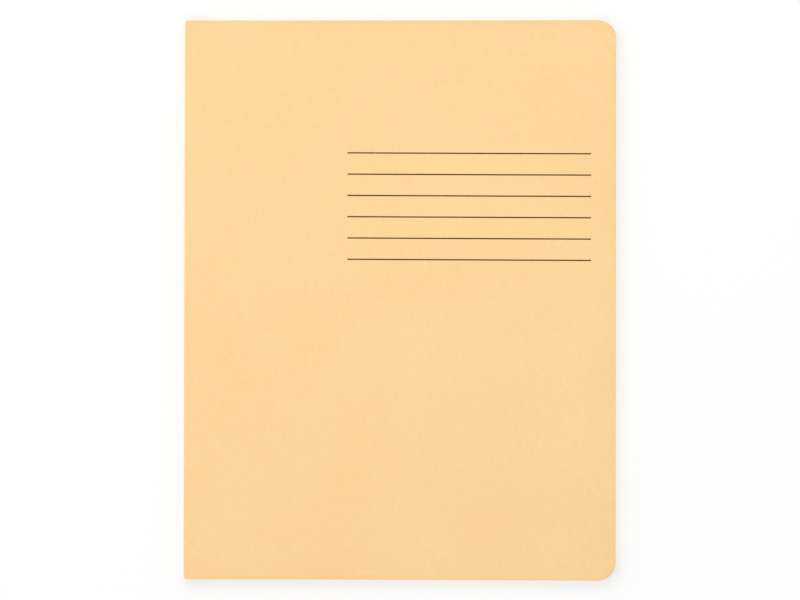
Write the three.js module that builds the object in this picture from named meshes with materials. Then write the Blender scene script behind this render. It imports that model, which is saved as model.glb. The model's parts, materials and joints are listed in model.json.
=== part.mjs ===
// A three-flap folder of plain manila card, lying closed on its back cover.
// One die-cut sheet of card is creased into a back cover, a spine, a front cover and three flaps.
// Each flap stands on a narrow gusset, so that a stack of paper fits under it.
// Millimetres, +Z up, +X towards the fore-edge, +Y towards the head, origin under the middle of the
// closed folder, on the surface it lies on.
import * as THREE from "three";

// The card
const CARD = 0.35;
const CREASE_GAP = 0.15;
const CREASE_SIDES = 16;
const ARC_SEGMENTS = 6;

// The covers
const COVER_WIDTH = 243;
const COVER_HEIGHT = 315;
const COVER_CORNER_RADIUS = 10;

// The room between the covers, and the gap that each loose layer of card keeps from the next
const FILL_HEIGHT = 5;
const LAYER_GAP = 0.3;

// How far the covers stand past the gussets, and how the gussets' ends clear the covers' corners
const COVER_OVERHANG = 1;
const CREASE_INSET = 12;
const SLIT_WIDTH = 1;

// The large flap at the fore-edge
const SIDE_FLAP_DEPTH = 110;
const SIDE_FLAP_TAPER_DEG = 12;
const SIDE_FLAP_CORNER_RADIUS = 18;

// The two smaller flaps at the head and the foot, cut back past 45 degrees so that all three swing
// past each other
const END_FLAP_DEPTH = 70;
const END_FLAP_TAPER_DEG = 42;
const END_FLAP_CORNER_RADIUS = 20;

// The lines for a title, printed on the front cover
const RULED_LINES = 6;
const RULED_LINE_PITCH = 12;
const RULED_LINE_LENGTH = 137;
const RULED_LINE_WIDTH = 0.55;
const RULED_LINE_THICKNESS = 0.05;
const RULED_LINE_FROM_FORE_EDGE = 14;
const FIRST_LINE_FROM_HEAD = 75;

// Colours
const CARD_COLOUR = 0xfcd69a;
const CREASE_COLOUR = 0xefc88c;
const INK_COLOUR = 0x3a2413;

// A crease is a rod of pressed card on the fold's axis, and a panel starts just clear of it.
const CREASE_RADIUS = CARD / 2;
const PANEL_START = CREASE_RADIUS + CREASE_GAP;

// Where the folds' axes lie, as distances from the middle of the back cover
const SPINE_AXIS = COVER_WIDTH / 2 - CREASE_RADIUS;
const SIDE_AXIS = COVER_WIDTH / 2 - COVER_OVERHANG - CREASE_RADIUS;
const END_AXIS = COVER_HEIGHT / 2 - COVER_OVERHANG - CREASE_RADIUS;

// Half the length of each fold
const SIDE_CREASE_HALF = COVER_HEIGHT / 2 - CREASE_INSET;
const END_CREASE_HALF = COVER_WIDTH / 2 - CREASE_INSET;

// The layers over the paper, counted from the paper up
const Layer = { END_FLAPS: 0, SIDE_FLAP: 1, FRONT_COVER: 2 };

// The rise from the middle of the back cover's card to the middle of the card of a layer over the paper.
function riseTo(layer) {
  return CARD + FILL_HEIGHT + layer * (CARD + LAYER_GAP);
}

function cardMaterial(colour = CARD_COLOUR) {
  return new THREE.MeshStandardMaterial({ color: colour, roughness: 0.85, metalness: 0 });
}

function inkMaterial() {
  return new THREE.MeshStandardMaterial({ color: INK_COLOUR, roughness: 0.7, metalness: 0 });
}

// A corner of an outline, with its rounding.
function corner(x, y, radius = 0) {
  return { at: new THREE.Vector2(x, y), radius };
}

// An outline through corners given counter-clockwise. The first is sharp, and only outward ones are rounded.
function roundedOutline(corners) {
  const outline = new THREE.Shape();
  outline.moveTo(corners[0].at.x, corners[0].at.y);
  for (let index = 1; index < corners.length; index += 1) {
    const { at, radius } = corners[index];
    if (radius === 0) {
      outline.lineTo(at.x, at.y);
      continue;
    }
    const toBefore = corners[index - 1].at.clone().sub(at).normalize();
    const toAfter = corners[(index + 1) % corners.length].at.clone().sub(at).normalize();
    const halfAngle = Math.acos(toBefore.dot(toAfter)) / 2;
    const inwards = toBefore.clone().add(toAfter).normalize();
    const centre = at.clone().addScaledVector(inwards, radius / Math.sin(halfAngle));
    const start = at.clone().addScaledVector(toBefore, radius / Math.tan(halfAngle));
    const end = at.clone().addScaledVector(toAfter, radius / Math.tan(halfAngle));
    const startAngle = start.clone().sub(centre).angle();
    const endAngle = end.clone().sub(centre).angle();
    outline.lineTo(start.x, start.y);
    outline.absarc(centre.x, centre.y, radius, startAngle, endAngle, false);
  }
  return outline;
}

// A flat panel of card, its thickness centred on its own XY plane.
function cardPanel(name, outline) {
  const geometry = new THREE.ExtrudeGeometry(outline, {
    depth: CARD,
    bevelEnabled: false,
    curveSegments: ARC_SEGMENTS,
  });
  geometry.translate(0, 0, -CARD / 2);
  const panel = new THREE.Mesh(geometry, cardMaterial());
  panel.name = name;
  return panel;
}

// The pressed card along a fold, lying on the fold's axis.
function crease(name, halfLength) {
  const geometry = new THREE.CylinderGeometry(CREASE_RADIUS, CREASE_RADIUS, 2 * halfLength, CREASE_SIDES);
  const rod = new THREE.Mesh(geometry, cardMaterial(CREASE_COLOUR));
  rod.name = name;
  return rod;
}

// A fold square to its parent: a group on the fold's axis whose own +X runs up from the parent's plane.
function foldUp(parent, distance) {
  const fold = new THREE.Group();
  fold.position.x = distance;
  fold.rotation.y = -Math.PI / 2;
  parent.add(fold);
  return fold;
}

// A frame on the back cover whose own +X points at one of its edges.
function edgeFrame(parent, turnDeg) {
  const frame = new THREE.Group();
  frame.rotation.z = THREE.MathUtils.degToRad(turnDeg);
  parent.add(frame);
  return frame;
}

// A narrow strip between two folds.
function strip(name, width, halfLength) {
  const outline = roundedOutline([
    corner(PANEL_START, -halfLength),
    corner(width - PANEL_START, -halfLength),
    corner(width - PANEL_START, halfLength),
    corner(PANEL_START, halfLength),
  ]);
  return cardPanel(name, outline);
}

// A flap that tapers from its fold to two rounded corners.
function flap(name, { halfLength, depth, taperDeg, radius }) {
  const tipHalf = halfLength - (depth - PANEL_START) * Math.tan(THREE.MathUtils.degToRad(taperDeg));
  const outline = roundedOutline([
    corner(PANEL_START, -halfLength),
    corner(depth, -tipHalf, radius),
    corner(depth, tipHalf, radius),
    corner(PANEL_START, halfLength),
  ]);
  return cardPanel(name, outline);
}

// A gusset and its flap: two folds, one after the other, from an edge of the back cover.
function addFlap(parent, place, { axis, turnDeg, layer, ...shape }) {
  const edge = edgeFrame(parent, turnDeg);
  const rise = riseTo(layer);
  const gussetFold = foldUp(edge, axis);
  gussetFold.add(crease(`${place}_rear_crease`, shape.halfLength));
  gussetFold.add(strip(`${place}_gusset`, rise, shape.halfLength));
  const flapFold = foldUp(gussetFold, rise);
  flapFold.add(crease(`${place}_front_crease`, shape.halfLength));
  flapFold.add(flap(`${place}_flap`, shape));
}

// The back cover: at each flap its edge steps in to the fold, and its corners stand out beside it.
function backCoverOutline() {
  const right = COVER_WIDTH / 2;
  const top = COVER_HEIGHT / 2;
  const spineEdge = -SPINE_AXIS + PANEL_START;
  const sideStep = SIDE_AXIS - PANEL_START;
  const endStep = END_AXIS - PANEL_START;
  const sideSlit = SIDE_CREASE_HALF + SLIT_WIDTH;
  const endSlit = END_CREASE_HALF + SLIT_WIDTH;
  return roundedOutline([
    corner(spineEdge, -top),
    corner(-endSlit, -top),
    corner(-endSlit, -endStep),
    corner(endSlit, -endStep),
    corner(endSlit, -top),
    corner(right, -top, COVER_CORNER_RADIUS),
    corner(right, -sideSlit),
    corner(sideStep, -sideSlit),
    corner(sideStep, sideSlit),
    corner(right, sideSlit),
    corner(right, top, COVER_CORNER_RADIUS),
    corner(endSlit, top),
    corner(endSlit, endStep),
    corner(-endSlit, endStep),
    corner(-endSlit, top),
    corner(spineEdge, top),
  ]);
}

// The front cover, from the spine's upper fold to the fore-edge with its rounded corners.
function frontCoverOutline() {
  const foreEdge = SPINE_AXIS + COVER_WIDTH / 2;
  const top = COVER_HEIGHT / 2;
  return roundedOutline([
    corner(PANEL_START, -top),
    corner(foreEdge, -top, COVER_CORNER_RADIUS),
    corner(foreEdge, top, COVER_CORNER_RADIUS),
    corner(PANEL_START, top),
  ]);
}

// The printed lines lie as thin films of ink on the front cover, each one a strip of its own.
function addRuledLines(folder, coverTop) {
  const middle = COVER_WIDTH / 2 - RULED_LINE_FROM_FORE_EDGE - RULED_LINE_LENGTH / 2;
  const firstLine = COVER_HEIGHT / 2 - FIRST_LINE_FROM_HEAD;
  for (let index = 0; index < RULED_LINES; index += 1) {
    const film = new THREE.BoxGeometry(RULED_LINE_LENGTH, RULED_LINE_WIDTH, RULED_LINE_THICKNESS);
    const line = new THREE.Mesh(film, inkMaterial());
    line.name = `ruled_line_${index + 1}`;
    line.position.set(middle, firstLine - index * RULED_LINE_PITCH, coverTop + RULED_LINE_THICKNESS / 2);
    folder.add(line);
  }
}

// The spine and the front cover: two folds, one after the other, from the back cover's left edge.
function addFrontCover(parent) {
  const rise = riseTo(Layer.FRONT_COVER);
  const spineFold = foldUp(edgeFrame(parent, 180), SPINE_AXIS);
  spineFold.add(crease("spine_rear_crease", COVER_HEIGHT / 2));
  spineFold.add(strip("spine", rise, COVER_HEIGHT / 2));
  const coverFold = foldUp(spineFold, rise);
  coverFold.add(crease("spine_front_crease", COVER_HEIGHT / 2));
  coverFold.add(cardPanel("front_cover", frontCoverOutline()));
}

function threeFlapFolder() {
  const folder = new THREE.Group();
  const sheet = new THREE.Group();
  sheet.position.z = CARD / 2;
  folder.add(sheet);

  const endFlap = {
    axis: END_AXIS,
    layer: Layer.END_FLAPS,
    halfLength: END_CREASE_HALF,
    depth: END_FLAP_DEPTH,
    taperDeg: END_FLAP_TAPER_DEG,
    radius: END_FLAP_CORNER_RADIUS,
  };
  const sideFlap = {
    axis: SIDE_AXIS,
    layer: Layer.SIDE_FLAP,
    halfLength: SIDE_CREASE_HALF,
    depth: SIDE_FLAP_DEPTH,
    taperDeg: SIDE_FLAP_TAPER_DEG,
    radius: SIDE_FLAP_CORNER_RADIUS,
  };

  sheet.add(cardPanel("back_cover", backCoverOutline()));
  addFlap(sheet, "side", { ...sideFlap, turnDeg: 0 });
  addFlap(sheet, "head", { ...endFlap, turnDeg: 90 });
  addFlap(sheet, "foot", { ...endFlap, turnDeg: -90 });
  addFrontCover(sheet);
  addRuledLines(folder, riseTo(Layer.FRONT_COVER) + CARD);
  return folder;
}

export default threeFlapFolder();
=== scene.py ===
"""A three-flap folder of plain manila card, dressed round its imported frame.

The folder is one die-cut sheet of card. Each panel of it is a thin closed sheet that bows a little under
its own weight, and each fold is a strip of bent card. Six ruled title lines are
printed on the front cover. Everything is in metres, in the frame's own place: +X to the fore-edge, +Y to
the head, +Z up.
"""

from __future__ import annotations

import functools
import json
import logging
import math
from dataclasses import dataclass
from enum import Enum

import bmesh
import bpy
from mathutils import Euler, Matrix, Vector, noise
from mathutils.geometry import intersect_point_line

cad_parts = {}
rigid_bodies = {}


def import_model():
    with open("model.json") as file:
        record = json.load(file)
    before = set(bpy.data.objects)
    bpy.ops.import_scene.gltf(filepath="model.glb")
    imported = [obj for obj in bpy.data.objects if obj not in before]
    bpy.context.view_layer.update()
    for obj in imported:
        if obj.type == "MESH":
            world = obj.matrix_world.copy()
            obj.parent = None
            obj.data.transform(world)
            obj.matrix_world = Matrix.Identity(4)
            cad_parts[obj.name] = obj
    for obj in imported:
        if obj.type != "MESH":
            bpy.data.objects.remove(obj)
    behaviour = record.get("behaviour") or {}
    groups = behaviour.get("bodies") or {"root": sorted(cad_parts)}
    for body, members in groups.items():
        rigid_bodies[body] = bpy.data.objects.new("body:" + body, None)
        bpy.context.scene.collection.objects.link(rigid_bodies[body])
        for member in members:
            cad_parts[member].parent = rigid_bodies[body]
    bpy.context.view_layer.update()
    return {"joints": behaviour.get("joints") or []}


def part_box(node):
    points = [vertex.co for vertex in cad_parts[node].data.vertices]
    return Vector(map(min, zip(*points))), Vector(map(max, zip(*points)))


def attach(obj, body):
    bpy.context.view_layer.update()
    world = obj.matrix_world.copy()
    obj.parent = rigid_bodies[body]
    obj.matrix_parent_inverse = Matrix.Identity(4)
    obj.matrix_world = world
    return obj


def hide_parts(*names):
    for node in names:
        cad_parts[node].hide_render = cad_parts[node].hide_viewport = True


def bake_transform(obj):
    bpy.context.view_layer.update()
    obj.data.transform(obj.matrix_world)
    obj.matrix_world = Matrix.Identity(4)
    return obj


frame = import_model()
LOG = logging.getLogger("folder")

MM = 0.001
UP = Vector((0, 0, 1))

# The card's thickness and half of it, and the strip that each fold bends: a panel starts where it ends.
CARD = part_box("front_cover")[1].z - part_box("front_cover")[0].z
HALF = CARD / 2
FOLD_REACH = 1.0 * MM
RIM_SOFTENING = 0.06 * MM
SHARP_ANGLE = math.radians(32)

# A face whose normal rises less than this looks sideways.
SIDEWAYS_RISE = 0.3

# The profile that makes a bevel round.
ROUND = 0.5

# Points nearer than this are one place, and a cut this near to a corner goes through it.
TOUCH = 1e-6
CUT_SNAP = 1e-7

Socket = bpy.types.NodeSocket
Sockets = bpy.types.bpy_prop_collection
Colour = tuple[float, float, float, float]
Span = tuple[float, float]
Triple = tuple[float, float, float]
WHITE: Colour = (1.0, 1.0, 1.0, 1.0)


def smoothstep(low: float, high: float, value: float) -> float:
    """A smooth rise from 0 at low to 1 at high."""
    share = min(max((value - low) / (high - low), 0.0), 1.0)
    return share * share * (3 - 2 * share)


def arch(low: float, high: float, value: float) -> float:
    """A smooth arch from 0 at low over 1 in the middle to 0 at high."""
    return math.sin(math.pi * min(max((value - low) / (high - low), 0.0), 1.0))


def srgb(*steps: int) -> Colour:
    """Turns a colour as a screen shows it into linear light.

    Args:
        steps: its red, green and blue, in steps of 0 to 255.

    Returns:
        The linear colour with full alpha.
    """
    shares = [step / 255 for step in steps]
    linear = [share / 12.92 if share <= 0.04045 else ((share + 0.055) / 1.055) ** 2.4 for share in shares]
    return (*linear, 1.0)


class Edge(Enum):
    """The back cover's edges, each with the direction that points out over it."""

    SPINE = (-1, 0)
    FORE = (1, 0)
    HEAD = (0, 1)
    FOOT = (0, -1)

    @property
    def outward(self) -> Vector:
        """The unit vector out over the edge."""
        return Vector((*self.value, 0))


@dataclass(frozen=True)
class Grain:
    """A noise: its cycles in a metre, its finer octaves and their strength, its curl and its stretch."""

    scale: float
    detail: float
    rough: float = 0.5
    curl: float = 0.0
    stretch: Triple | None = None


class Nodes:
    """Adds nodes to one node tree and joins their sockets."""

    def __init__(self, tree: bpy.types.NodeTree) -> None:
        """Takes the tree to work on, and empties it."""
        self.tree = tree
        tree.nodes.clear()

    def add(self, kind: str, inputs: dict | None = None, **settings: object) -> bpy.types.Node:
        """Adds a node.

        Args:
            kind: the node's type name.
            inputs: for a socket's name or number, the socket that feeds it or its plain value.
            settings: properties of the node to set.

        Returns:
            The new node.
        """
        node = self.tree.nodes.new(kind)
        for name, value in settings.items():
            setattr(node, name, value)
        for name, value in (inputs or {}).items():
            if isinstance(value, Socket):
                self.tree.links.new(value, node.inputs[name])
            else:
                node.inputs[name].default_value = value
        return node

    def attribute(self, name: str) -> Socket:
        """A value that the mesh keeps for each of its points."""
        return self.add("ShaderNodeAttribute", attribute_name=name).outputs["Fac"]

    def scaled(self, vector: Socket, scale: Triple) -> Socket:
        """A vector with each of its parts scaled."""
        return self.add("ShaderNodeMapping", {"Vector": vector, "Scale": scale}).outputs["Vector"]

    def texture(self, vector: Socket, grain: Grain) -> Sockets:
        """The outputs of a noise texture of some grain, read at a vector."""
        return self.add("ShaderNodeTexNoise", {
            "Vector": self.scaled(vector, grain.stretch) if grain.stretch else vector,
            "Scale": grain.scale,
            "Detail": grain.detail,
            "Roughness": grain.rough,
            "Distortion": grain.curl,
        }).outputs

    def noise(self, vector: Socket, grain: Grain) -> Socket:
        """A noise's value, from 0 to 1."""
        return self.texture(vector, grain)["Fac"]

    def strayed(self, vector: Socket, grain: Grain, reach: float) -> Socket:
        """A vector moved about by a noise, at most so many metres, so that what is read there is curly."""
        inputs = {0: self.texture(vector, grain)["Color"], 1: (reach, reach, reach), 2: vector}
        return self.add("ShaderNodeVectorMath", inputs, operation="MULTIPLY_ADD").outputs["Vector"]

    def web(self, vector: Socket, scale: float) -> Socket:
        """How far a point lies from a web of fine lines between scattered cells, with so many in a metre."""
        inputs = {"Vector": vector, "Scale": scale}
        return self.add("ShaderNodeTexVoronoi", inputs, feature="DISTANCE_TO_EDGE").outputs["Distance"]

    def ramp(self, value: Socket, span: Span, to: Span = (0.0, 1.0)) -> Socket:
        """A value's range mapped smoothly to another.

        Args:
            value: the socket to map.
            span: the two values that give the two results.
            to: the two results.

        Returns:
            The mapped value's socket.
        """
        inputs = {"Value": value, "From Min": span[0], "From Max": span[1], "To Min": to[0], "To Max": to[1]}
        return self.add("ShaderNodeMapRange", inputs, interpolation_type="SMOOTHSTEP").outputs["Result"]

    def maths(self, operation: str, first: Socket, second: Socket | float) -> Socket:
        """A sum, product or other result of two values."""
        return self.add("ShaderNodeMath", {0: first, 1: second}, operation=operation).outputs["Value"]

    def weighed(self, values: tuple[Socket, ...], shares: tuple[float, ...]) -> Socket:
        """The sum of some values, each times its share."""
        parts = [self.maths("MULTIPLY", value, share) for value, share in zip(values, shares)]
        return functools.reduce(functools.partial(self.maths, "ADD"), parts)

    def tinted(self, base: Socket | Colour, colour: Colour, mask: Socket) -> Socket:
        """A colour laid over another through a mask."""
        inputs = {"Factor": mask, "A": base, "B": colour}
        return self.add("ShaderNodeMix", inputs, data_type="RGBA").outputs["Result"]

    def joined(self, share: Socket, first: Socket, second: Socket) -> Socket:
        """A shader that turns from one into another by a share."""
        return self.add("ShaderNodeMixShader", {"Fac": share, 1: first, 2: second}).outputs["Shader"]


class SharedLook:
    """A look that several finishes share: a node group, built the first time it is asked for."""

    name: str
    inputs: tuple[str, ...]
    outputs: tuple[str, ...]

    def group(self) -> bpy.types.NodeTree:
        """Finds the look's group, or makes it.

        Returns:
            A group that takes a point and the look's own inputs, and gives its outputs.
        """
        if self.name in bpy.data.node_groups:
            return bpy.data.node_groups[self.name]
        group = bpy.data.node_groups.new(self.name, "ShaderNodeTree")
        group.interface.new_socket(name="Vector", in_out="INPUT", socket_type="NodeSocketVector")
        for name in self.inputs:
            group.interface.new_socket(name=name, in_out="INPUT", socket_type="NodeSocketFloat")
        for name in self.outputs:
            group.interface.new_socket(name=name, in_out="OUTPUT", socket_type="NodeSocketFloat")
        nodes = Nodes(group)
        results = self.draw(nodes, nodes.add("NodeGroupInput").outputs)
        nodes.add("NodeGroupOutput", dict(zip(self.outputs, results)))
        return group

    def place(self, nodes: Nodes, inputs: dict) -> Sockets:
        """Places the look in a material with that material's own values, and returns its outputs."""
        return nodes.add("ShaderNodeGroup", inputs, node_tree=self.group()).outputs

    def draw(self, nodes: Nodes, given: Sockets) -> tuple[Socket, ...]:
        """Builds the look between its inputs and its outputs, which it returns in their order."""
        raise NotImplementedError


@dataclass(frozen=True)
class PressedFibres(SharedLook):
    """Pressed paper pulp, whose grain runs head to foot. Scales are in cells in a metre."""

    name: str = "pressed_fibres"
    inputs: tuple[str, ...] = ("Fineness",)
    outputs: tuple[str, ...] = ("Tone", "Pale Fibres", "Dark Fibres", "Specks", "Relief")
    clouds: Grain = Grain(330.0, 6.0, 0.62, 0.3, stretch=(1.0, 0.8, 1.0))
    drift: Grain = Grain(14.0, 2.0)
    grain: Grain = Grain(2600.0, 3.0, 0.65, stretch=(1.0, 0.6, 1.0))
    tone_shares: Triple = (0.45, 0.25, 0.30)
    tone_span: Span = (0.35, 0.65)
    stray: Grain = Grain(420.0, 1.0)
    stray_reach: float = 1.8 * MM
    breaks: Grain = Grain(640.0, 2.0, 0.6)
    pale_scale: float = 430.0
    pale_width: Span = (0.020, 0.005)
    pale_breaks: Span = (0.50, 0.58)
    dark_stretch: Triple = (1.0, 0.7, 1.3)
    dark_scale: float = 560.0
    dark_width: Span = (0.017, 0.004)
    dark_breaks: Span = (0.49, 0.41)
    speck_scale: float = 330.0
    speck_spread: float = 0.055
    speck_size: Span = (0.095, 0.06)
    speck_rarity: Span = (0.70, 0.90)
    tooth: Grain = Grain(3600.0, 3.0, 0.6, 0.3, stretch=(1.0, 0.45, 1.0))
    relief_shares: Triple = (0.70, 0.12, 0.45)

    def draw(self, nodes: Nodes, given: Sockets) -> tuple[Socket, ...]:
        """Builds the pulp.

        Args:
            nodes: the group's node tree.
            given: the group's inputs.

        Returns:
            The sheet's cloudy tone, its pale and dark fibres, its specks and its relief.
        """
        inputs = {0: given["Vector"], "Scale": given["Fineness"]}
        point = nodes.add("ShaderNodeVectorMath", inputs, operation="SCALE").outputs["Vector"]
        clouds = nodes.noise(point, self.clouds)
        densities = (clouds, nodes.noise(point, self.drift), nodes.noise(point, self.grain))
        tone = nodes.ramp(nodes.weighed(densities, self.tone_shares), self.tone_span)
        pale, dark = self._fibres(nodes, point)
        heights = (nodes.noise(point, self.tooth), nodes.maths("MAXIMUM", pale, dark), clouds)
        relief = nodes.weighed(heights, self.relief_shares)
        return tone, pale, dark, self._specks(nodes, point), relief

    def _fibres(self, nodes: Nodes, point: Socket) -> tuple[Socket, Socket]:
        """Draws single curly fibres near the surface, each broken off after a millimetre or so.

        Args:
            nodes: the group's node tree.
            point: where the pulp is read.

        Returns:
            The masks of the pale fibres and of the dark ones.
        """
        curly = nodes.strayed(point, self.stray, self.stray_reach)
        breaks = nodes.noise(point, self.breaks)
        crossing = nodes.scaled(curly, self.dark_stretch)
        pale = nodes.ramp(nodes.web(curly, self.pale_scale), self.pale_width)
        dark = nodes.ramp(nodes.web(crossing, self.dark_scale), self.dark_width)
        return (nodes.maths("MULTIPLY", pale, nodes.ramp(breaks, self.pale_breaks)),
                nodes.maths("MULTIPLY", dark, nodes.ramp(breaks, self.dark_breaks)))

    def _specks(self, nodes: Nodes, point: Socket) -> Socket:
        """Strews specks of bark and old ink, a few in each square centimetre.

        Args:
            nodes: the group's node tree.
            point: where the pulp is read.

        Returns:
            The specks' mask.
        """
        cells = nodes.add("ShaderNodeTexVoronoi", {"Vector": point, "Scale": self.speck_scale})
        parts = nodes.add("ShaderNodeSeparateColor", {"Color": cells.outputs["Color"]})
        size = nodes.maths("MULTIPLY", parts.outputs["Green"], self.speck_spread)
        small = nodes.ramp(nodes.maths("ADD", cells.outputs["Distance"], size), self.speck_size)
        return nodes.maths("MULTIPLY", small, nodes.ramp(parts.outputs["Red"], self.speck_rarity))


@dataclass(frozen=True)
class EdgeWearAndShade(SharedLook):
    """Scuffs on worn card, and a wider, fainter band along its edges, which paints shade of the rounded edge
    where the worn colour is darker than the card, and a paler rub on a fold.
    """

    name: str = "edge_wear"
    inputs: tuple[str, ...] = ("Wear", "Scuffed", "Handled")
    outputs: tuple[str, ...] = ("Mask",)
    scuffs: Grain = Grain(900.0, 4.0, 0.65)
    scuff_span: Span = (0.40, 0.60)
    handled_falloff: float = 0.3

    def draw(self, nodes: Nodes, given: Sockets) -> tuple[Socket, ...]:
        """Builds the scuffs, and the wider band along the edges, which paints shade on the card's faces and
        cut edges and a rub on the folds.

        Args:
            nodes: the group's node tree.
            given: the group's inputs.

        Returns:
            How much of the worn colour shows, in scuffs and in the wider band along the edges that paints
            shade on the faces.
        """
        scuffs = nodes.ramp(nodes.noise(given["Vector"], self.scuffs), self.scuff_span)
        worn = nodes.maths("MULTIPLY", nodes.maths("MULTIPLY", given["Wear"], scuffs), given["Scuffed"])
        # The wide band along every edge: on the card's faces and cut edges it is painted shade of the
        # rounded edge, on a fold a paler rub.
        faint = nodes.maths("POWER", given["Wear"], self.handled_falloff)
        return (nodes.maths("MAXIMUM", worn, nodes.maths("MULTIPLY", faint, given["Handled"])),)


@dataclass(frozen=True, kw_only=True)
class Finish:
    """What every finish on the card's pulp has: its roughness, its emboss and its gloss."""

    name: str
    fineness: float = 1.0
    roughness: Span
    relief: float
    relief_strength: float
    gloss: float

    def build(self) -> bpy.types.Material:
        """Makes the material.

        Returns:
            The material, which reads object coordinates, the mesh's wear, and its pressed line with painted
            crease shade.
        """
        material = bpy.data.materials.new(self.name)
        material.use_nodes = True
        nodes = Nodes(material.node_tree)
        point = nodes.add("ShaderNodeTexCoord").outputs["Object"]
        pulp = PressedFibres().place(nodes, {"Vector": point, "Fineness": self.fineness})
        colour, unevenness = self.paint(nodes, point, pulp)
        bump = nodes.add("ShaderNodeBump", {
            "Height": pulp["Relief"],
            "Strength": self.relief_strength,
            "Distance": self.relief,
        })
        shader = nodes.add("ShaderNodeBsdfPrincipled", {
            "Base Color": colour,
            "Roughness": nodes.ramp(unevenness, (0.0, 1.0), self.roughness),
            "Specular IOR Level": self.gloss,
            "Normal": bump.outputs["Normal"],
        })
        nodes.add("ShaderNodeOutputMaterial", {"Surface": shader.outputs["BSDF"]})
        return material

    def paint(self, nodes: Nodes, point: Socket, pulp: Sockets) -> tuple[Socket, Socket]:
        """Mixes the finish's colour, and the value that its roughness follows."""
        raise NotImplementedError


@dataclass(frozen=True, kw_only=True)
class CardFinish(Finish):
    """Uncoated manila card: its colours, and how strongly its fibres, specks, wear, pressed creases and
    painted shade show.
    """

    light: Colour
    shade: Colour
    pale_fibre: Colour
    dark_fibre: Colour
    speck: Colour
    worn: Colour
    # The colour of the pressed line inside a fold: partly pressed card, partly painted crease shade.
    pressed: Colour
    pale_strength: float = 0.45
    dark_strength: float = 0.30
    speck_strength: float = 0.5
    scuffed_strength: float = 0.5
    # How strongly the wide band along the edges shows, which paints shade along the card's rounded edges.
    handled_strength: float = 0.16
    pressed_strength: float = 0.55
    roughness: Span = (0.86, 0.70)
    relief: float = 0.06 * MM
    relief_strength: float = 0.8
    gloss: float = 0.32

    def paint(self, nodes: Nodes, point: Socket, pulp: Sockets) -> tuple[Socket, Socket]:
        """Tints the card's cloudy tone with its fibres, its specks, its pressed lines with painted crease
        shade, and its wear with a band of painted shade along the edges.

        Args:
            nodes: the material's node tree.
            point: where the material is read.
            pulp: the pulp's outputs.

        Returns:
            The card's colour and its tone.
        """
        colour = nodes.tinted(self.shade, self.light, pulp["Tone"])
        layers = (
            # The line inside a fold is darker, partly because pressed card is darker and partly as painted
            # shade in the crease's groove.
            (self.pressed, nodes.attribute("pressed"), self.pressed_strength),
            (self.pale_fibre, pulp["Pale Fibres"], self.pale_strength),
            (self.dark_fibre, pulp["Dark Fibres"], self.dark_strength),
            (self.speck, pulp["Specks"], self.speck_strength),
        )
        for tint, mask, strength in layers:
            colour = nodes.tinted(colour, tint, nodes.maths("MULTIPLY", mask, strength))
        # The worn colour shows where the card is scuffed, and in a wider band that paints shade along the
        # rounded edges.
        worn = EdgeWearAndShade().place(nodes, {
            "Vector": point,
            "Wear": nodes.attribute("wear"),
            "Scuffed": self.scuffed_strength,
            "Handled": self.handled_strength,
        })
        return nodes.tinted(colour, self.worn, worn["Mask"]), pulp["Tone"]


@dataclass(frozen=True, kw_only=True)
class InkFinish(Finish):
    """Thin dark printing ink, which lets a little of the card's fibres through."""

    dense: Colour
    thin: Colour
    bare: Colour
    bare_strength: float = 0.35
    film: Grain = Grain(700.0, 4.0, 0.6)
    film_span: Span = (0.35, 0.70)
    roughness: Span = (0.55, 0.75)
    relief: float = 0.01 * MM
    relief_strength: float = 0.4
    gloss: float = 0.12

    def paint(self, nodes: Nodes, point: Socket, pulp: Sockets) -> tuple[Socket, Socket]:
        """Mixes the ink's colour from where its film is dense, where it is thin and where a fibre shows.

        Args:
            nodes: the material's node tree.
            point: where the material is read.
            pulp: the outputs of the pulp below.

        Returns:
            The ink's colour, and how thin its film is.
        """
        film = nodes.ramp(nodes.noise(point, self.film), self.film_span)
        fibres = nodes.maths("MULTIPLY", pulp["Pale Fibres"], self.bare_strength)
        return nodes.tinted(nodes.tinted(self.dense, self.thin, film), self.bare, fibres), film


class Finishes:
    """The folder's finishes: the card's faces, its cut edges, its folds and the printed ink."""

    def __init__(self) -> None:
        """Builds the four materials."""
        card = {
            "pale_fibre": srgb(255, 234, 196),
            "dark_fibre": srgb(226, 178, 114),
            "speck": srgb(188, 130, 70),
            # The pressed line inside a fold: partly pressed card, partly painted crease shade.
            "pressed": srgb(236, 190, 124),
        }
        tones = {"light": srgb(254, 217, 158), "shade": srgb(251, 211, 149)}
        # The faces' darker worn colour gives their scuffs and also the painted shade band along the edges.
        self.face = CardFinish(name="card_face", worn=srgb(240, 196, 138), **tones, **card).build()
        self.fold = CardFinish(name="card_fold", worn=srgb(255, 229, 184), scuffed_strength=0.6, **tones,
                               **card).build()
        # The cut edges' worn colour is darker too: it gives their scuffs and the painted shade band along
        # them.
        self.cut = CardFinish(
            name="card_cut_edge",
            light=srgb(252, 220, 170),
            shade=srgb(236, 194, 134),
            worn=srgb(230, 186, 128),
            fineness=1.3,
            pale_strength=0.7,
            roughness=(0.95, 0.70),
            relief=0.08 * MM,
            **card,
        ).build()
        self.ink = InkFinish(
            name="title_ink",
            dense=srgb(70, 42, 2),
            thin=srgb(94, 65, 8),
            bare=srgb(160, 114, 50),
        ).build()


def placing(origin: Vector, away: Vector, outward: Vector) -> Matrix:
    """The turn and shift of a drawing whose X axis goes away from a fold, and whose Z axis goes outward."""
    turn = Matrix((away, outward.cross(away), outward)).transposed()
    return Matrix.Translation(origin) @ turn.to_4x4()


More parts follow.
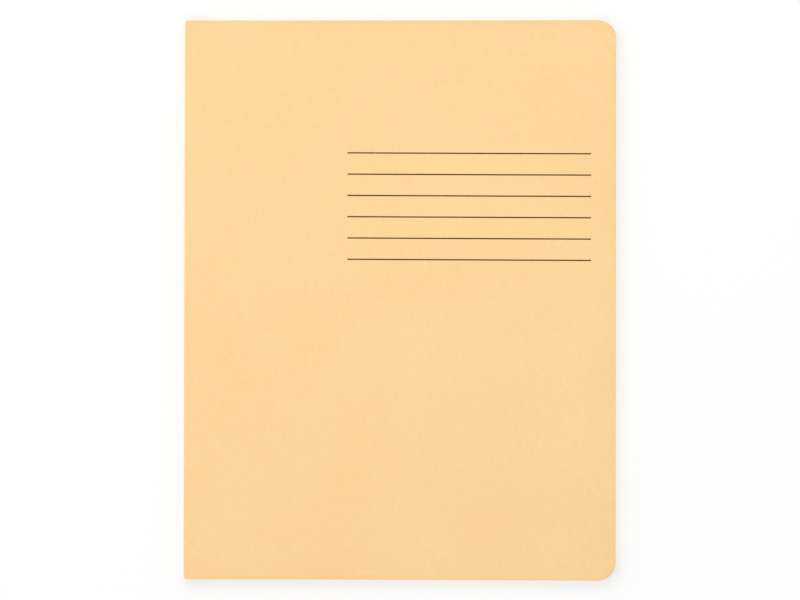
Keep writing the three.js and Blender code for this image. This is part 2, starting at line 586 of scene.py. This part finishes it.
@dataclass(frozen=True)
class FoldLine:
    """A fold's axis and the two bodies it joins, read from the frame's joint."""

    point: Vector
    parent: str
    child: str

    @classmethod
    def of(cls, joint: str) -> FoldLine:
        """Finds a fold by its joint's name."""
        found = next(entry for entry in frame["joints"] if entry["name"] == joint)
        return cls(Vector(found["pos_m"]), found["parent"], found["child"])


@dataclass(frozen=True)
class Corner:
    """A corner of a panel's outline: its distance from the fold, its place along it, and its rounding."""

    away: float
    across: float
    radius: float = 0.0


def mirrored(upper: list[Corner]) -> list[Corner]:
    """A whole outline from its upper half, given anticlockwise."""
    return [Corner(corner.away, -corner.across, corner.radius) for corner in reversed(upper)] + upper


def slice_mesh(mesh: bmesh.types.BMesh, point: tuple, normal: tuple) -> None:
    """Cuts every face that a plane crosses, and takes nothing away.

    Args:
        mesh: the mesh to cut.
        point: a point of the plane.
        normal: the plane's normal.
    """
    geometry = mesh.verts[:] + mesh.edges[:] + mesh.faces[:]
    bmesh.ops.bisect_plane(mesh, geom=geometry, dist=CUT_SNAP, plane_co=point, plane_no=normal)


def slice_evenly(mesh: bmesh.types.BMesh, low: float, high: float, cell: float, normal: tuple) -> None:
    """Cuts a mesh across between two values into even slices of about one size.

    Args:
        mesh: the mesh to cut.
        low: where the slices start along the normal.
        high: where they end.
        cell: about how wide a slice is.
        normal: the unit axis that the slices follow.
    """
    slices = max(round((high - low) / cell), 1)
    for index in range(1, slices):
        place = low + (high - low) * index / slices
        slice_mesh(mesh, tuple(place * part for part in normal), normal)


def thicken(mesh: bmesh.types.BMesh, depth: float) -> None:
    """Raises a flat outline into a closed slab.

    Args:
        mesh: a mesh that holds one flat face.
        depth: how far the face is raised along Z.
    """
    raised = bmesh.ops.extrude_face_region(mesh, geom=mesh.faces[:], use_keep_orig=True)["geom"]
    vertices = [item for item in raised if isinstance(item, bmesh.types.BMVert)]
    bmesh.ops.translate(mesh, vec=(0, 0, depth), verts=vertices)
    bmesh.ops.recalc_face_normals(mesh, faces=mesh.faces[:])


def slab(outline: list[Span], base: float, depth: float) -> bmesh.types.BMesh:
    """Draws an outline and raises it.

    Args:
        outline: the outline's points.
        base: how high it lies along Z.
        depth: how far it is raised.

    Returns:
        The closed slab's mesh.
    """
    mesh = bmesh.new()
    mesh.faces.new([mesh.verts.new((x, y, base)) for x, y in outline])
    thicken(mesh, depth)
    return mesh


def round_off(mesh: bmesh.types.BMesh, parts: list, reach: float, segments: int,
              kind: str = "EDGES") -> None:
    """Rounds some edges or vertices of a mesh, from so far beside each and with so many segments."""
    bmesh.ops.bevel(mesh, geom=parts, offset=reach, offset_type="OFFSET", segments=segments, profile=ROUND,
                    affect=kind, material=-1)


def turn_outwards(mesh: bmesh.types.BMesh) -> None:
    """Points a closed sheet's faces outwards, and checks, because a sheet this thin can come out inside out.

    Args:
        mesh: the closed mesh.
    """
    bmesh.ops.recalc_face_normals(mesh, faces=mesh.faces[:])
    if mesh.calc_volume(signed=True) < 0:
        bmesh.ops.reverse_faces(mesh, faces=mesh.faces[:])


def finish_object(mesh: bmesh.types.BMesh, name: str, matrix: Matrix,
                  materials: list[bpy.types.Material]) -> bpy.types.Object:
    """Puts a finished mesh in place as an object at the origin.

    Args:
        mesh: the mesh in its piece's own coordinates, which is freed.
        name: the piece's name.
        matrix: the way from those coordinates to the frame's.
        materials: the piece's materials, in the order of its faces' indices.

    Returns:
        The new object.
    """
    mesh.transform(matrix)
    for face in mesh.faces:
        face.smooth = True
    for edge in mesh.edges:
        edge.smooth = edge.calc_face_angle(0.0) < SHARP_ANGLE
    data = bpy.data.meshes.new(name)
    mesh.to_mesh(data)
    mesh.free()
    for material in materials:
        data.materials.append(material)
    piece = bpy.data.objects.new(name, data)
    bpy.context.scene.collection.objects.link(piece)
    return piece


def stand_in(piece: bpy.types.Object, node: str, slot: str) -> None:
    """Lets a finished piece stand for a node, and reports it.

    Args:
        piece: the piece, which rides on a body or stands at a fold.
        node: the node of the frame that it replaces.
        slot: the name of its finish, for the log.
    """
    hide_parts(node)
    LOG.info("%s: %d faces of %s in place of %s", piece.name, len(piece.data.polygons), slot, node)


@dataclass
class CardPanel:
    """A panel of card: a thin closed sheet between folds, with its cut rim softened.

    It is drawn flat, with X away from its fold, Y along it and Z out of the folder, and its place moves the
    drawing to the frame. Its seams, where a fold strip carries on, are given by their distances from its own
    fold, and its end seams by their places along it.
    """

    name: str
    node: str
    body: str
    place: Matrix
    corners: list[Corner]
    seams: tuple[float, ...] = (FOLD_REACH,)
    end_seams: tuple[float, ...] = ()
    cell: float = 5.0 * MM
    seed: float = 0.0
    ripple_length: float = 75 * MM
    wear_width: float = 1.4 * MM
    corner_segments: int = 14
    rim_segments: int = 2
    rim_slices: tuple[float, ...] = (0.5 * MM, 1.4 * MM, 3.0 * MM)

    def bow(self, away: float, across: float) -> float:
        """How far a point stands out of the panel's flat plane, towards the folder's outside."""
        return 0.0

    def waves(self, away: float, across: float) -> float:
        """A soft unevenness between about -1 and 1, which is each panel's own."""
        return noise.noise(Vector((away / self.ripple_length, across / self.ripple_length, self.seed)))

    def is_seam(self, *points: Vector) -> bool:
        """Whether all these points lie on one edge where a fold strip carries on."""
        beside = any(all(abs(point.x - seam) < TOUCH for point in points) for seam in self.seams)
        return beside or any(all(abs(point.y - seam) < TOUCH for point in points) for seam in self.end_seams)

    def build(self, finishes: Finishes) -> None:
        """Models the panel and fixes it to its body.

        Args:
            finishes: the folder's finishes.
        """
        mesh = bmesh.new()
        self._cut_outline(mesh)
        rim = self._cut_edges(mesh)
        thicken(mesh, CARD)
        self._soften_rim(mesh)
        self._mark_cut_faces(mesh)
        self._slice(mesh)
        self._mark_wear(mesh, rim)
        for vertex in mesh.verts:
            vertex.co.z += self.bow(vertex.co.x, vertex.co.y)
        turn_outwards(mesh)
        piece = finish_object(mesh, self.name, self.place, [finishes.face, finishes.cut])
        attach(piece, self.body)
        stand_in(piece, self.node, "card")

    def _cut_outline(self, mesh: bmesh.types.BMesh) -> None:
        """Draws the flat outline at the inner face of the card and rounds its corners.

        Args:
            mesh: the empty mesh to draw in.
        """
        places = [Vector((corner.away, corner.across, -HALF)) for corner in self.corners]
        vertices = [mesh.verts.new(place) for place in places]
        mesh.faces.new(vertices)
        for index, corner in enumerate(self.corners):
            if corner.radius == 0.0:
                continue
            before = places[index - 1] - places[index]
            after = places[(index + 1) % len(places)] - places[index]
            reach = corner.radius / math.tan(before.angle(after) / 2)
            round_off(mesh, [vertices[index]], reach, self.corner_segments, "VERTICES")

    def _cut_edges(self, mesh: bmesh.types.BMesh) -> list[tuple[Vector, Vector]]:
        """The straight stretches of the flat outline that a knife cut, as pairs of points."""
        pairs = [(edge.verts[0].co.copy(), edge.verts[1].co.copy()) for edge in mesh.edges]
        return [pair for pair in pairs if not self.is_seam(*pair)]

    def _soften_rim(self, mesh: bmesh.types.BMesh) -> None:
        """Rounds the long edges of the slab's cut rim, but not those at a fold.

        Args:
            mesh: the panel as a slab.
        """
        rim = []
        for edge in mesh.edges:
            ends = [vertex.co for vertex in edge.verts]
            level = abs(ends[0].z - ends[1].z) < TOUCH
            if level and not self.is_seam(*ends):
                rim.append(edge)
        round_off(mesh, rim, RIM_SOFTENING, self.rim_segments)

    def _mark_cut_faces(self, mesh: bmesh.types.BMesh) -> None:
        """Gives the faces of the cut rim, which look sideways, the second material.

        Args:
            mesh: the panel as a slab with a softened rim.
        """
        for face in mesh.faces:
            sideways = abs(face.normal.z) < SIDEWAYS_RISE
            face.material_index = int(sideways and not self.is_seam(*(vertex.co for vertex in face.verts)))

    def _slice(self, mesh: bmesh.types.BMesh) -> None:
        """Cuts the panel into small cells, with narrow ones beside its cut edges.

        Args:
            mesh: the panel as a slab.
        """
        for axis, places in ((0, [corner.away for corner in self.corners]),
                             (1, [corner.across for corner in self.corners])):
            normal = (1 - axis, axis, 0)
            slice_evenly(mesh, min(places), max(places), self.cell, normal)
        for index, corner in enumerate(self.corners):
            following = self.corners[(index + 1) % len(self.corners)]
            start = Vector((corner.away, corner.across, 0))
            end = Vector((following.away, following.across, 0))
            if self.is_seam(start, end):
                continue
            inward = UP.cross(end - start).normalized()
            for depth in self.rim_slices:
                slice_mesh(mesh, tuple(start + inward * depth), tuple(inward))

    def _mark_wear(self, mesh: bmesh.types.BMesh, rim: list[tuple[Vector, Vector]]) -> None:
        """Marks how worn each point is, from 1 at a cut edge to 0 well inside it.

        Args:
            mesh: the sliced panel.
            rim: the cut stretches of its outline.
        """
        layer = mesh.verts.layers.float.new("wear")
        for vertex in mesh.verts:
            nearest = min(self._distance(vertex.co, *pair) for pair in rim)
            vertex[layer] = math.exp(-nearest / self.wear_width)

    @staticmethod
    def _distance(point: Vector, start: Vector, end: Vector) -> float:
        """The distance, seen flat, from a point to the stretch of the outline from start to end."""
        share = intersect_point_line(point.xy, start.xy, end.xy)[1]
        return (point.xy - start.xy.lerp(end.xy, min(max(share, 0.0), 1.0))).length


@dataclass
class Gusset(CardPanel):
    """A narrow panel between two folds, which hollows a little where the folds pull at it."""

    cell: float = 1.5 * MM
    rim_slices: tuple[float, ...] = (0.5 * MM,)
    hollow: float = 0.2 * MM
    evenness: float = 0.6
    ripple_length: float = 45 * MM

    def bow(self, away: float, across: float) -> float:
        """How far the panel is hollow at a point: most in the middle, and unevenly along the folds."""
        share = self.evenness + (1 - self.evenness) * self.waves(away, across)
        return -self.hollow * share * arch(*self.seams, away) ** 2


@dataclass
class BackCover(CardPanel):
    """The back cover, which lies flat on the desk, apart from a slight unevenness."""

    rim_slices: tuple[float, ...] = (0.5 * MM,)
    lift: float = 0.10 * MM
    evenness: float = 0.5
    fade: float = 30.0 * MM
    ripple_length: float = 70 * MM

    def bow(self, away: float, across: float) -> float:
        """How far the desk leaves the sheet free to lift at a point, which is inwards only.

        Args:
            away: the point's distance from the spine's fold.
            across: its place along the fold.

        Returns:
            The lift, as a negative number.
        """
        low, high = self.seams
        side = max(corner.across for corner in self.corners)
        share = smoothstep(low, low + self.fade, away) * smoothstep(high, high - self.fade, away)
        share *= smoothstep(side, side - self.fade, abs(across))
        return -self.lift * share * (self.evenness + (1 - self.evenness) * self.waves(away, across))


@dataclass
class LooseSheet(CardPanel):
    """A panel that only one fold holds, and that is a little uneven away from it."""

    unevenness: float = 0.10 * MM
    stiff_by_fold: float = 25 * MM

    def waviness(self, away: float, across: float) -> float:
        """How high the unevenness lifts a point, which is nothing beside the fold."""
        return smoothstep(FOLD_REACH, self.stiff_by_fold, away) * self.unevenness * self.waves(away, across)


@dataclass
class FrontCover(LooseSheet):
    """The front cover, which hangs a little between the spine and the side gusset."""

    cell: float = 4.0 * MM
    sag_at_ends: float = 0.6 * MM
    sag_more_in_middle: float = 0.9 * MM

    def bow(self, away: float, across: float) -> float:
        """How far the sheet sags at a point between its two long sides.

        Args:
            away: the point's distance from the fold.
            across: its place along the fold.

        Returns:
            The height out of the flat plane.
        """
        width = max(corner.away for corner in self.corners)
        height = 2 * max(corner.across for corner in self.corners)
        depth = self.sag_at_ends + self.sag_more_in_middle * math.cos(math.pi * across / height) ** 2
        return self.waviness(away, across) - depth * arch(FOLD_REACH, width, away)


@dataclass
class Flap(LooseSheet):
    """A flap, whose fold has relaxed so that its free edge sinks towards the back cover."""

    unevenness: float = 0.08 * MM
    ripple_length: float = 60 * MM
    sink: float = 3.0 * MM
    sink_length: float = 30.0 * MM

    def bow(self, away: float, across: float) -> float:
        """How far the flap stands out of its flat plane at a point: it sinks away from its fold."""
        run = max(away - FOLD_REACH, 0.0)
        return self.waviness(away, across) - self.sink * (1 - math.exp(-run / self.sink_length))


@dataclass(frozen=True)
class FoldStrip:
    """The bent card of one fold: two short legs square to each other, round the fold's axis.

    One leg carries on into a wide panel, and the other into a narrow one, whose ends are set back a little.
    """

    name: str
    node: str
    line: FoldLine
    into_parent: Vector
    into_child: Vector
    half_length: float
    set_back: float
    set_back_run: float = 5.0 * MM
    outer_radius: float = 0.26 * MM
    outer_segments: int = 5
    inner_radius: float = 0.07 * MM
    inner_segments: int = 2
    ridge_wear: float = 0.5 * MM
    end_wear: float = 0.5
    end_wear_width: float = 1.2 * MM
    # How far the pressed line, with its painted crease shade, reaches from the inside of the fold.
    pressed_span: Span = (0.55 * MM, 0.1 * MM)
    leg_slice: float = 0.12 * MM
    length_slice: float = 10.0 * MM
    end_slices: tuple[float, ...] = (0.4 * MM, 1.0 * MM, 2.0 * MM, 4.0 * MM)

    def build(self, finishes: Finishes) -> None:
        """Models the strip and puts it in place at the fold.

        Args:
            finishes: the folder's finishes.
        """
        section = [(-HALF, -HALF), (FOLD_REACH, -HALF), (FOLD_REACH, HALF), (HALF, HALF), (HALF, FOLD_REACH),
                   (-HALF, FOLD_REACH)]
        mesh = slab(section, -self.half_length, 2 * self.half_length)
        self._round_the_bend(mesh)
        slice_evenly(mesh, HALF, FOLD_REACH, self.leg_slice, (1, 0, 0))
        slice_evenly(mesh, HALF, FOLD_REACH, self.leg_slice, (0, 1, 0))
        slice_evenly(mesh, -self.half_length, self.half_length, self.length_slice, (0, 0, 1))
        for depth in self.end_slices:
            for side in (-1, 1):
                slice_mesh(mesh, (0, 0, side * (self.half_length - depth)), (0, 0, side))
        self._mark_wear(mesh)
        self._set_ends_back(mesh)
        turn_outwards(mesh)
        matrix = placing(self.line.point, self.into_parent, self.into_parent.cross(self.into_child))
        piece = finish_object(mesh, self.name, matrix, [finishes.fold])
        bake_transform(piece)
        stand_in(piece, self.node, "card")

    def _round_the_bend(self, mesh: bmesh.types.BMesh) -> None:
        """Rounds the fold's ridge and the hollow inside it.

        Args:
            mesh: the strip as a bar with an L for its section.
        """
        for place, radius, segments in ((-HALF, self.outer_radius, self.outer_segments),
                                        (HALF, self.inner_radius, self.inner_segments)):
            bend = Vector((place, place))
            ridge = [edge for edge in mesh.edges
                     if all((vertex.co.xy - bend).length < TOUCH for vertex in edge.verts)]
            round_off(mesh, ridge, radius, segments)

    def _mark_wear(self, mesh: bmesh.types.BMesh) -> None:
        """Marks the ridge and the fold's two ends as worn, and the line inside the fold as pressed card
        darkened with painted crease shade.

        Args:
            mesh: the sliced strip.
        """
        worn = mesh.verts.layers.float.new("wear")
        pressed = mesh.verts.layers.float.new("pressed")
        for vertex in mesh.verts:
            across, up, along = vertex.co
            from_end = self.half_length - abs(along)
            ridge = smoothstep(self.ridge_wear, 0.0, max(across, up) + HALF)
            vertex[worn] = max(ridge, self.end_wear * math.exp(-from_end / self.end_wear_width))
            inside = min(across, up) > HALF - self.inner_radius
            # The line inside the fold gets darker: pressed card, and painted shade in the crease.
            vertex[pressed] = smoothstep(*self.pressed_span, max(across, up) - HALF) if inside else 0.0

    def _set_ends_back(self, mesh: bmesh.types.BMesh) -> None:
        """Draws the upright, narrow leg's ends in, and rounds the level, wide leg off towards them.

        Args:
            mesh: the marked strip.
        """
        wide = 0 if self.into_parent.z == 0 else 1
        for vertex in mesh.verts:
            share = min(max((vertex.co[wide] - HALF) / (FOLD_REACH - HALF), 0.0), 1.0)
            drawn_in = self.set_back * (1 - share) ** 2
            drawn_in *= smoothstep(self.half_length - self.set_back_run, self.half_length, abs(vertex.co.z))
            vertex.co.z -= math.copysign(drawn_in, vertex.co.z)


@dataclass
class TitleRule:
    """One printed title line, a film of ink that follows the front cover's surface."""

    number: int
    cover: FrontCover
    film: float = 0.02 * MM
    sunk: float = 0.005 * MM
    spread: float = 0.085 * MM
    skew: float = math.radians(-0.23)

    def build(self, finishes: Finishes) -> None:
        """Models the line and fixes it to the cover.

        Args:
            finishes: the folder's finishes.
        """
        node = f"ruled_line_{self.number}"
        low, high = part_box(node)
        origin = self.cover.place.translation
        start, end = low.x - origin.x - self.spread, high.x - origin.x + self.spread
        foot, head = low.y - origin.y - self.spread, high.y - origin.y + self.spread
        outline = [(start, foot), (end, foot), (end, head), (start, head)]
        mesh = slab(outline, HALF - self.sunk, self.sunk + self.film)
        slice_evenly(mesh, start, end, self.cover.cell, (1, 0, 0))
        for vertex in mesh.verts:
            vertex.co.y += math.tan(self.skew) * (vertex.co.x - (start + end) / 2)
            vertex.co.z += self.cover.bow(vertex.co.x, vertex.co.y)
        turn_outwards(mesh)
        piece = finish_object(mesh, f"title_rule_{self.number}", self.cover.place, [finishes.ink])
        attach(piece, self.cover.body)
        stand_in(piece, node, "ink")


@dataclass
class GussetPair:
    """A narrow panel between a rear fold and a front fold, and the strips of both folds."""

    place: str
    edge: Edge
    node: str
    card: str
    half_length: float
    set_back: float
    seed: float

    def build(self, finishes: Finishes) -> FoldLine:
        """Models the rear fold, the narrow panel and the front fold.

        Args:
            finishes: the folder's finishes.

        Returns:
            The front fold's line, which the next panel turns on.
        """
        rear = FoldLine.of(f"{self.place}_rear_fold")
        front = FoldLine.of(f"{self.place}_front_fold")
        outward = self.edge.outward
        FoldStrip(f"{self.place}_rear_bend", f"{self.place}_rear_crease", rear, -outward, UP,
                  self.half_length, self.set_back).build(finishes)
        high = front.point.z - rear.point.z - FOLD_REACH
        end = self.half_length - self.set_back
        corners = mirrored([Corner(high, end), Corner(FOLD_REACH, end)])
        Gusset(self.card, self.node, rear.child, placing(rear.point, UP, outward), corners,
               seams=(FOLD_REACH, high), seed=self.seed).build(finishes)
        FoldStrip(f"{self.place}_front_bend", f"{self.place}_front_crease", front, -UP, -outward,
                  self.half_length, self.set_back).build(finishes)
        return front


@dataclass
class GussetedFlap:
    """A gusset and its flap at one edge of the back cover, with the two folds that carry them.

    The flap tapers from its fold to two rounded corners.
    """

    place: str
    edge: Edge
    seed: float
    taper: float = math.radians(42)
    corner_radius: float = 20 * MM
    sink: float = 3.0 * MM
    sink_length: float = 30 * MM
    set_back: float = 0.3 * MM
    gusset_seed_step: float = 0.5

    def build(self, finishes: Finishes) -> None:
        """Models the gusset, the flap and their folds.

        Args:
            finishes: the folder's finishes.
        """
        low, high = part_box(f"{self.place}_rear_crease")
        half_length = max(high.x - low.x, high.y - low.y) / 2
        front = GussetPair(self.place, self.edge, f"{self.place}_gusset", f"{self.place}_gusset_card",
                           half_length, self.set_back, self.seed + self.gusset_seed_step).build(finishes)
        low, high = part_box(f"{self.place}_flap")
        outward = self.edge.outward
        reach = max((front.point - low).dot(outward), (front.point - high).dot(outward))
        tip = half_length - (reach - FOLD_REACH) * math.tan(self.taper)
        upper = [Corner(reach, tip, self.corner_radius), Corner(FOLD_REACH, half_length)]
        Flap(f"{self.place}_flap_card", f"{self.place}_flap", front.child,
             placing(front.point, -outward, UP), mirrored(upper), seed=self.seed, sink=self.sink,
             sink_length=self.sink_length).build(finishes)


@dataclass
class Covers:
    """The back cover, the spine and the front cover, with the spine's folds and the title lines."""

    corner_radius: float = 10.0 * MM
    slit: float = 1.0 * MM
    spine_set_back: float = 0.9 * MM
    rules: int = 6
    spine_seed: float = 5.2
    front_seed: float = 3.1
    back_seed: float = 7.7

    def build(self, finishes: Finishes) -> None:
        """Models the covers from the back to the front.

        Args:
            finishes: the folder's finishes.
        """
        half_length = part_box("spine")[1].y
        self._back_cover().build(finishes)
        front = GussetPair("spine", Edge.SPINE, "spine", "spine_card", half_length, self.spine_set_back,
                           self.spine_seed).build(finishes)
        fore_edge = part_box("front_cover")[1].x - front.point.x
        upper = [Corner(fore_edge, half_length, self.corner_radius), Corner(FOLD_REACH, half_length)]
        cover = FrontCover("front_cover_card", "front_cover", front.child,
                           placing(front.point, -Edge.SPINE.outward, UP), mirrored(upper),
                           seed=self.front_seed)
        cover.build(finishes)
        for number in range(1, self.rules + 1):
            TitleRule(number, cover).build(finishes)

    def _back_cover(self) -> BackCover:
        """Lays out the back cover, whose corners stand out beside the gussets' folds.

        Returns:
            The back cover, not built yet.
        """
        spine = FoldLine.of("spine_rear_fold").point
        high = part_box("back_cover")[1]
        right, top = high.x - spine.x, high.y
        side_seam = FoldLine.of("side_rear_fold").point.x - spine.x - FOLD_REACH
        end_seam = FoldLine.of("head_rear_fold").point.y - FOLD_REACH
        side_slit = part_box("side_rear_crease")[1].y + self.slit
        end_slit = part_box("head_rear_crease")[1].x + self.slit
        near, far = -end_slit - spine.x, end_slit - spine.x
        upper = [
            Corner(side_seam, side_slit),
            Corner(right, side_slit),
            Corner(right, top, self.corner_radius),
            Corner(far, top),
            Corner(far, end_seam),
            Corner(near, end_seam),
            Corner(near, top),
            Corner(FOLD_REACH, top),
        ]
        place = placing(spine, -Edge.SPINE.outward, -UP)
        return BackCover("back_cover_card", "back_cover", "base", place, mirrored(upper),
                         seams=(FOLD_REACH, side_seam), end_seams=(-end_seam, end_seam), seed=self.back_seed)


@dataclass
class Studio:
    """A white table under soft light, and a camera that looks straight down on the folder."""

    camera_place: Triple = (0.0300, -0.0160, 1.4)
    camera_turn_deg: Triple = (0.6527, 1.2239, 0.1079)
    focal_length_mm: float = 111.4
    sensor_width_mm: float = 36.0
    clip: Span = (0.05, 50.0)
    floor_size: float = 12.0
    floor_drop: float = 0.05 * MM
    floor_grey: float = 0.72
    floor_glow: float = 0.6
    sky: float = 0.782
    lamp_watts: float = 8.3
    lamp_size: float = 1.2
    lamp_place: Triple = (-0.45, 0.85, 1.35)

    def build(self) -> None:
        """Sets the camera, the light, the table and the plain colour transform."""
        self._camera()
        self._lamp()
        self._world()
        self._floor()
        bpy.context.scene.view_settings.view_transform = "Standard"

    def _camera(self) -> None:
        """The camera above the folder, turned by the small tilts that the photograph has."""
        data = bpy.data.cameras.new("camera")
        data.lens = self.focal_length_mm
        data.sensor_width = self.sensor_width_mm
        data.clip_start, data.clip_end = self.clip
        turn = Euler([math.radians(part) for part in self.camera_turn_deg])
        bpy.context.scene.camera = self._set_up(data, self.camera_place, turn)

    def _lamp(self) -> None:
        """A large soft lamp at the upper left."""
        data = bpy.data.lights.new("soft_box", "AREA")
        data.shape = "SQUARE"
        data.size = self.lamp_size
        data.energy = self.lamp_watts
        self._set_up(data, self.lamp_place, (-Vector(self.lamp_place)).to_track_quat("-Z", "Y").to_euler())

    @staticmethod
    def _set_up(data: bpy.types.Camera | bpy.types.Light, place: Triple, turn: Euler) -> bpy.types.Object:
        """Stands a camera or a lamp in the studio.

        Args:
            data: the camera or lamp.
            place: where it stands.
            turn: how it is turned from looking straight down.

        Returns:
            Its object.
        """
        stand = bpy.data.objects.new(data.name, data)
        stand.location = place
        stand.rotation_euler = turn
        bpy.context.scene.collection.objects.link(stand)
        return stand

    def _world(self) -> None:
        """An even sky, which looks white to the camera and in reflections."""
        world = bpy.data.worlds.new("studio")
        world.use_nodes = True
        bpy.context.scene.world = world
        nodes = Nodes(world.node_tree)
        light = nodes.add("ShaderNodeBackground", {"Color": WHITE, "Strength": self.sky})
        seen = nodes.add("ShaderNodeBackground", {"Color": WHITE, "Strength": 1.0})
        sky = nodes.joined(self._looked_at(nodes), light.outputs["Background"], seen.outputs["Background"])
        nodes.add("ShaderNodeOutputWorld", {"Surface": sky})

    def _looked_at(self, nodes: Nodes) -> Socket:
        """Whether a ray comes from the camera, straight or by a reflection or through glass.

        Args:
            nodes: the node tree that asks.

        Returns:
            The socket of a value that is 1 for such a ray and 0 for others.
        """
        path = nodes.add("ShaderNodeLightPath")
        glossy = nodes.maths("MAXIMUM", path.outputs["Is Camera Ray"], path.outputs["Is Glossy Ray"])
        return nodes.maths("MAXIMUM", glossy, path.outputs["Is Transmission Ray"])

    def _floor(self) -> None:
        """The white table top, just under the folder, which keeps its soft shadow."""
        mesh = bmesh.new()
        bmesh.ops.create_grid(mesh, x_segments=1, y_segments=1, size=self.floor_size / 2)
        bmesh.ops.translate(mesh, vec=(0, 0, -self.floor_drop), verts=mesh.verts[:])
        material = bpy.data.materials.new("table_top")
        material.use_nodes = True
        nodes = Nodes(material.node_tree)
        seen = self._looked_at(nodes)
        grey = (self.floor_grey, self.floor_grey, self.floor_grey, 1.0)
        matt = nodes.add("ShaderNodeBsdfDiffuse", {"Color": nodes.tinted(grey, WHITE, seen)})
        glow = nodes.add("ShaderNodeEmission", {"Color": WHITE, "Strength": 1.0})
        share = nodes.maths("MULTIPLY", seen, self.floor_glow)
        surface = nodes.joined(share, matt.outputs["BSDF"], glow.outputs["Emission"])
        nodes.add("ShaderNodeOutputMaterial", {"Surface": surface})
        finish_object(mesh, "table_top", Matrix.Identity(4), [material])


def main() -> None:
    """Builds the folder and its studio in order."""
    logging.basicConfig(level=logging.INFO, format="%(message)s")
    finishes = Finishes()
    Covers().build(finishes)
    GussetedFlap("side", Edge.FORE, seed=11.3, taper=math.radians(12), corner_radius=18 * MM,
                 sink=1.9 * MM, sink_length=45 * MM).build(finishes)
    GussetedFlap("head", Edge.HEAD, seed=17.9).build(finishes)
    GussetedFlap("foot", Edge.FOOT, seed=23.4).build(finishes)
    Studio().build()


if __name__ == "__main__":
    main()
